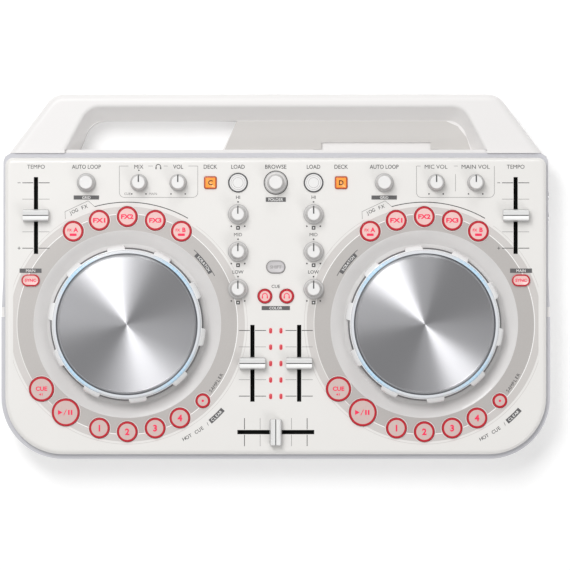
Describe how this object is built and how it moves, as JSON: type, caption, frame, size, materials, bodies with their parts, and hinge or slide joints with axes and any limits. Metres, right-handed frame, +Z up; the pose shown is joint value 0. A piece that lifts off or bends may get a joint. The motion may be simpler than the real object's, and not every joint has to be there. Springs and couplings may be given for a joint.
{
  "type": "dj controller",
  "caption": "Compact two-deck DJ controller with jog wheels, centre mixer, faders, knobs, lit keys and a carrying handle along the rear edge.",
  "frame": {"origin": "middle of the footprint, on the surface that the rubber feet rest on", "axes": "+X to the player's right along the longest side, +Y from the player to the handle at the rear, +Z up"},
  "size_m": [0.4002, 0.266, 0.0572],
  "materials": {
    "white_panel": "satin white",
    "white_case": "satin white",
    "silver_trim": "satin silver paint",
    "circuit_board": "green solder mask",
    "foot_rubber": "matte",
    "screw_steel": "zinc plated",
    "white_jog": "gloss white",
    "white_fader": "satin white",
    "white_knob": "satin white",
    "lit_key_red": "translucent, lit red",
    "lit_key_orange": "translucent, lit orange",
    "white_key": "translucent white",
    "grey_key": "translucent grey",
    "jog_plate": "spun radial brushing",
    "jog_ring": "clear, lit pale blue",
    "printed_grey": "silver-grey ink",
    "printed_dark": "dark grey ink",
    "dark_slot": "black, inside the slots",
    "socket_chrome": "polished"
  },
  "bodies": {
    "chassis": {"top_panel": "white_panel", "edge_trim": "silver_trim", "bottom_case": "white_case", "handle_base": "white_case", "rear_handle": "white_case", "board_and_screws": "circuit_board", "rubber_feet": "foot_rubber"},
    "jog_wheel_left": {"jog_wheel_left": "white_jog"},
    "jog_wheel_right": {"jog_wheel_right": "white_jog"},
    "tempo_fader_left": {"tempo_fader_left": "white_fader"},
    "tempo_fader_right": {"tempo_fader_right": "white_fader"},
    "channel_fader_left": {"channel_fader_left": "white_fader"},
    "channel_fader_right": {"channel_fader_right": "white_fader"},
    "crossfader": {"crossfader": "white_fader"},
    "high_tone_knob_left": {"high_tone_knob_left": "white_knob"},
    "mid_tone_knob_left": {"mid_tone_knob_left": "white_knob"},
    "low_tone_knob_left": {"low_tone_knob_left": "white_knob"},
    "high_tone_knob_right": {"high_tone_knob_right": "white_knob"},
    "mid_tone_knob_right": {"mid_tone_knob_right": "white_knob"},
    "low_tone_knob_right": {"low_tone_knob_right": "white_knob"},
    "phones_mix_knob": {"phones_mix_knob": "white_knob"},
    "phones_level_knob": {"phones_level_knob": "white_knob"},
    "microphone_level_knob": {"microphone_level_knob": "white_knob"},
    "main_level_knob": {"main_level_knob": "white_knob"},
    "loop_knob_left": {"loop_knob_left": "white_knob"},
    "loop_knob_right": {"loop_knob_right": "white_knob"},
    "browse_knob": {"browse_knob": "white_knob"},
    "effect_a_key_left": {"effect_a_key_left": "lit_key_red"},
    "effect_1_key_left": {"effect_1_key_left": "lit_key_red"},
    "effect_2_key_left": {"effect_2_key_left": "lit_key_red"},
    "effect_3_key_left": {"effect_3_key_left": "lit_key_red"},
    "effect_b_key_left": {"effect_b_key_left": "lit_key_red"},
    "hot_cue_1_key_left": {"hot_cue_1_key_left": "lit_key_red"},
    "hot_cue_2_key_left": {"hot_cue_2_key_left": "lit_key_red"},
    "hot_cue_3_key_left": {"hot_cue_3_key_left": "lit_key_red"},
    "hot_cue_4_key_left": {"hot_cue_4_key_left": "lit_key_red"},
    "play_key_left": {"play_key_left": "lit_key_red"},
    "cue_key_left": {"cue_key_left": "lit_key_red"},
    "sampler_key_left": {"sampler_key_left": "lit_key_red"},
    "load_key_left": {"load_key_left": "white_key"},
    "channel_cue_key_left": {"channel_cue_key_left": "lit_key_red"},
    "sync_key_left": {"sync_key_left": "lit_key_red"},
    "deck_key_left": {"deck_key_left": "lit_key_orange"},
    "effect_a_key_right": {"effect_a_key_right": "lit_key_red"},
    "effect_1_key_right": {"effect_1_key_right": "lit_key_red"},
    "effect_2_key_right": {"effect_2_key_right": "lit_key_red"},
    "effect_3_key_right": {"effect_3_key_right": "lit_key_red"},
    "effect_b_key_right": {"effect_b_key_right": "lit_key_red"},
    "hot_cue_1_key_right": {"hot_cue_1_key_right": "lit_key_red"},
    "hot_cue_2_key_right": {"hot_cue_2_key_right": "lit_key_red"},
    "hot_cue_3_key_right": {"hot_cue_3_key_right": "lit_key_red"},
    "hot_cue_4_key_right": {"hot_cue_4_key_right": "lit_key_red"},
    "play_key_right": {"play_key_right": "lit_key_red"},
    "cue_key_right": {"cue_key_right": "lit_key_red"},
    "sampler_key_right": {"sampler_key_right": "lit_key_red"},
    "load_key_right": {"load_key_right": "white_key"},
    "channel_cue_key_right": {"channel_cue_key_right": "lit_key_red"},
    "sync_key_right": {"sync_key_right": "lit_key_red"},
    "deck_key_right": {"deck_key_right": "lit_key_orange"},
    "shift_key": {"shift_key": "grey_key"}
  },
  "joints": [
    {"name": "jog_wheel_left_turn", "type": "hinge", "parent": "chassis", "child": "jog_wheel_left", "pos_m": [-0.1081, -0.0347, 0.042], "axis": [0, 0, 1], "continuous": true},
    {"name": "jog_wheel_right_turn", "type": "hinge", "parent": "chassis", "child": "jog_wheel_right", "pos_m": [0.1081, -0.0347, 0.042], "axis": [0, 0, 1], "continuous": true},
    {"name": "tempo_fader_left_slide", "type": "slide", "parent": "chassis", "child": "tempo_fader_left", "axis": [0, 1, 0], "range_m": [-0.025, 0.025]},
    {"name": "tempo_fader_right_slide", "type": "slide", "parent": "chassis", "child": "tempo_fader_right", "axis": [0, 1, 0], "range_m": [-0.025, 0.025]},
    {"name": "channel_fader_left_slide", "type": "slide", "parent": "chassis", "child": "channel_fader_left", "axis": [0, 1, 0], "range_m": [-0.025, 0.025]},
    {"name": "channel_fader_right_slide", "type": "slide", "parent": "chassis", "child": "channel_fader_right", "axis": [0, 1, 0], "range_m": [-0.025, 0.025]},
    {"name": "crossfader_slide", "type": "slide", "parent": "chassis", "child": "crossfader", "axis": [1, 0, 0], "range_m": [-0.025, 0.025]},
    {"name": "high_tone_knob_left_turn", "type": "hinge", "parent": "chassis", "child": "high_tone_knob_left", "pos_m": [-0.0275, 0.0453, 0.042], "axis": [0, 0, 1], "range_deg": [-150, 150]},
    {"name": "mid_tone_knob_left_turn", "type": "hinge", "parent": "chassis", "child": "mid_tone_knob_left", "pos_m": [-0.0275, 0.0181, 0.042], "axis": [0, 0, 1], "range_deg": [-150, 150]},
    {"name": "low_tone_knob_left_turn", "type": "hinge", "parent": "chassis", "child": "low_tone_knob_left", "pos_m": [-0.0275, -0.0091, 0.042], "axis": [0, 0, 1], "range_deg": [-150, 150]},
    {"name": "high_tone_knob_right_turn", "type": "hinge", "parent": "chassis", "child": "high_tone_knob_right", "pos_m": [0.0275, 0.0453, 0.042], "axis": [0, 0, 1], "range_deg": [-150, 150]},
    {"name": "mid_tone_knob_right_turn", "type": "hinge", "parent": "chassis", "child": "mid_tone_knob_right", "pos_m": [0.0275, 0.0181, 0.042], "axis": [0, 0, 1], "range_deg": [-150, 150]},
    {"name": "low_tone_knob_right_turn", "type": "hinge", "parent": "chassis", "child": "low_tone_knob_right", "pos_m": [0.0275, -0.0091, 0.042], "axis": [0, 0, 1], "range_deg": [-150, 150]},
    {"name": "phones_mix_knob_turn", "type": "hinge", "parent": "chassis", "child": "phones_mix_knob", "pos_m": [-0.0997, 0.0683, 0.042], "axis": [0, 0, 1], "range_deg": [-150, 150]},
    {"name": "phones_level_knob_turn", "type": "hinge", "parent": "chassis", "child": "phones_level_knob", "pos_m": [-0.0711, 0.0683, 0.042], "axis": [0, 0, 1], "range_deg": [-150, 150]},
    {"name": "microphone_level_knob_turn", "type": "hinge", "parent": "chassis", "child": "microphone_level_knob", "pos_m": [0.1167, 0.0683, 0.042], "axis": [0, 0, 1], "range_deg": [-150, 150]},
    {"name": "main_level_knob_turn", "type": "hinge", "parent": "chassis", "child": "main_level_knob", "pos_m": [0.1455, 0.0683, 0.042], "axis": [0, 0, 1], "range_deg": [-150, 150]},
    {"name": "loop_knob_left_turn", "type": "hinge", "parent": "chassis", "child": "loop_knob_left", "pos_m": [-0.1379, 0.0683, 0.042], "axis": [0, 0, 1], "continuous": true},
    {"name": "loop_knob_right_turn", "type": "hinge", "parent": "chassis", "child": "loop_knob_right", "pos_m": [0.0789, 0.0683, 0.042], "axis": [0, 0, 1], "continuous": true},
    {"name": "browse_knob_turn", "type": "hinge", "parent": "chassis", "child": "browse_knob", "pos_m": [0, 0.0683, 0.042], "axis": [0, 0, 1], "continuous": true},
    {"name": "effect_a_key_left_press", "type": "slide", "parent": "chassis", "child": "effect_a_key_left", "axis": [0, 0, -1], "range_m": [0, 0.001], "stiffness_N_per_m": 400, "springref_m": -0.0005},
    {"name": "effect_1_key_left_press", "type": "slide", "parent": "chassis", "child": "effect_1_key_left", "axis": [0, 0, -1], "range_m": [0, 0.001], "stiffness_N_per_m": 400, "springref_m": -0.0005},
    {"name": "effect_2_key_left_press", "type": "slide", "parent": "chassis", "child": "effect_2_key_left", "axis": [0, 0, -1], "range_m": [0, 0.001], "stiffness_N_per_m": 400, "springref_m": -0.0005},
    {"name": "effect_3_key_left_press", "type": "slide", "parent": "chassis", "child": "effect_3_key_left", "axis": [0, 0, -1], "range_m": [0, 0.001], "stiffness_N_per_m": 400, "springref_m": -0.0005},
    {"name": "effect_b_key_left_press", "type": "slide", "parent": "chassis", "child": "effect_b_key_left", "axis": [0, 0, -1], "range_m": [0, 0.001], "stiffness_N_per_m": 400, "springref_m": -0.0005},
    {"name": "hot_cue_1_key_left_press", "type": "slide", "parent": "chassis", "child": "hot_cue_1_key_left", "axis": [0, 0, -1], "range_m": [0, 0.001], "stiffness_N_per_m": 400, "springref_m": -0.0005},
    {"name": "hot_cue_2_key_left_press", "type": "slide", "parent": "chassis", "child": "hot_cue_2_key_left", "axis": [0, 0, -1], "range_m": [0, 0.001], "stiffness_N_per_m": 400, "springref_m": -0.0005},
    {"name": "hot_cue_3_key_left_press", "type": "slide", "parent": "chassis", "child": "hot_cue_3_key_left", "axis": [0, 0, -1], "range_m": [0, 0.001], "stiffness_N_per_m": 400, "springref_m": -0.0005},
    {"name": "hot_cue_4_key_left_press", "type": "slide", "parent": "chassis", "child": "hot_cue_4_key_left", "axis": [0, 0, -1], "range_m": [0, 0.001], "stiffness_N_per_m": 400, "springref_m": -0.0005},
    {"name": "play_key_left_press", "type": "slide", "parent": "chassis", "child": "play_key_left", "axis": [0, 0, -1], "range_m": [0, 0.001], "stiffness_N_per_m": 400, "springref_m": -0.0005},
    {"name": "cue_key_left_press", "type": "slide", "parent": "chassis", "child": "cue_key_left", "axis": [0, 0, -1], "range_m": [0, 0.001], "stiffness_N_per_m": 400, "springref_m": -0.0005},
    {"name": "sampler_key_left_press", "type": "slide", "parent": "chassis", "child": "sampler_key_left", "axis": [0, 0, -1], "range_m": [0, 0.001], "stiffness_N_per_m": 400, "springref_m": -0.0005},
    {"name": "load_key_left_press", "type": "slide", "parent": "chassis", "child": "load_key_left", "axis": [0, 0, -1], "range_m": [0, 0.001], "stiffness_N_per_m": 400, "springref_m": -0.0005},
    {"name": "channel_cue_key_left_press", "type": "slide", "parent": "chassis", "child": "channel_cue_key_left", "axis": [0, 0, -1], "range_m": [0, 0.001], "stiffness_N_per_m": 400, "springref_m": -0.0005},
    {"name": "sync_key_left_press", "type": "slide", "parent": "chassis", "child": "sync_key_left", "axis": [0, 0, -1], "range_m": [0, 0.001], "stiffness_N_per_m": 400, "springref_m": -0.0005},
    {"name": "deck_key_left_press", "type": "slide", "parent": "chassis", "child": "deck_key_left", "axis": [0, 0, -1], "range_m": [0, 0.001], "stiffness_N_per_m": 400, "springref_m": -0.0005},
    {"name": "effect_a_key_right_press", "type": "slide", "parent": "chassis", "child": "effect_a_key_right", "axis": [0, 0, -1], "range_m": [0, 0.001], "stiffness_N_per_m": 400, "springref_m": -0.0005},
    {"name": "effect_1_key_right_press", "type": "slide", "parent": "chassis", "child": "effect_1_key_right", "axis": [0, 0, -1], "range_m": [0, 0.001], "stiffness_N_per_m": 400, "springref_m": -0.0005},
    {"name": "effect_2_key_right_press", "type": "slide", "parent": "chassis", "child": "effect_2_key_right", "axis": [0, 0, -1], "range_m": [0, 0.001], "stiffness_N_per_m": 400, "springref_m": -0.0005},
    {"name": "effect_3_key_right_press", "type": "slide", "parent": "chassis", "child": "effect_3_key_right", "axis": [0, 0, -1], "range_m": [0, 0.001], "stiffness_N_per_m": 400, "springref_m": -0.0005},
    {"name": "effect_b_key_right_press", "type": "slide", "parent": "chassis", "child": "effect_b_key_right", "axis": [0, 0, -1], "range_m": [0, 0.001], "stiffness_N_per_m": 400, "springref_m": -0.0005},
    {"name": "hot_cue_1_key_right_press", "type": "slide", "parent": "chassis", "child": "hot_cue_1_key_right", "axis": [0, 0, -1], "range_m": [0, 0.001], "stiffness_N_per_m": 400, "springref_m": -0.0005},
    {"name": "hot_cue_2_key_right_press", "type": "slide", "parent": "chassis", "child": "hot_cue_2_key_right", "axis": [0, 0, -1], "range_m": [0, 0.001], "stiffness_N_per_m": 400, "springref_m": -0.0005},
    {"name": "hot_cue_3_key_right_press", "type": "slide", "parent": "chassis", "child": "hot_cue_3_key_right", "axis": [0, 0, -1], "range_m": [0, 0.001], "stiffness_N_per_m": 400, "springref_m": -0.0005},
    {"name": "hot_cue_4_key_right_press", "type": "slide", "parent": "chassis", "child": "hot_cue_4_key_right", "axis": [0, 0, -1], "range_m": [0, 0.001], "stiffness_N_per_m": 400, "springref_m": -0.0005},
    {"name": "play_key_right_press", "type": "slide", "parent": "chassis", "child": "play_key_right", "axis": [0, 0, -1], "range_m": [0, 0.001], "stiffness_N_per_m": 400, "springref_m": -0.0005},
    {"name": "cue_key_right_press", "type": "slide", "parent": "chassis", "child": "cue_key_right", "axis": [0, 0, -1], "range_m": [0, 0.001], "stiffness_N_per_m": 400, "springref_m": -0.0005},
    {"name": "sampler_key_right_press", "type": "slide", "parent": "chassis", "child": "sampler_key_right", "axis": [0, 0, -1], "range_m": [0, 0.001], "stiffness_N_per_m": 400, "springref_m": -0.0005},
    {"name": "load_key_right_press", "type": "slide", "parent": "chassis", "child": "load_key_right", "axis": [0, 0, -1], "range_m": [0, 0.001], "stiffness_N_per_m": 400, "springref_m": -0.0005},
    {"name": "channel_cue_key_right_press", "type": "slide", "parent": "chassis", "child": "channel_cue_key_right", "axis": [0, 0, -1], "range_m": [0, 0.001], "stiffness_N_per_m": 400, "springref_m": -0.0005},
    {"name": "sync_key_right_press", "type": "slide", "parent": "chassis", "child": "sync_key_right", "axis": [0, 0, -1], "range_m": [0, 0.001], "stiffness_N_per_m": 400, "springref_m": -0.0005},
    {"name": "deck_key_right_press", "type": "slide", "parent": "chassis", "child": "deck_key_right", "axis": [0, 0, -1], "range_m": [0, 0.001], "stiffness_N_per_m": 400, "springref_m": -0.0005},
    {"name": "shift_key_press", "type": "slide", "parent": "chassis", "child": "shift_key", "axis": [0, 0, -1], "range_m": [0, 0.001], "stiffness_N_per_m": 400, "springref_m": -0.0005}
  ]
}
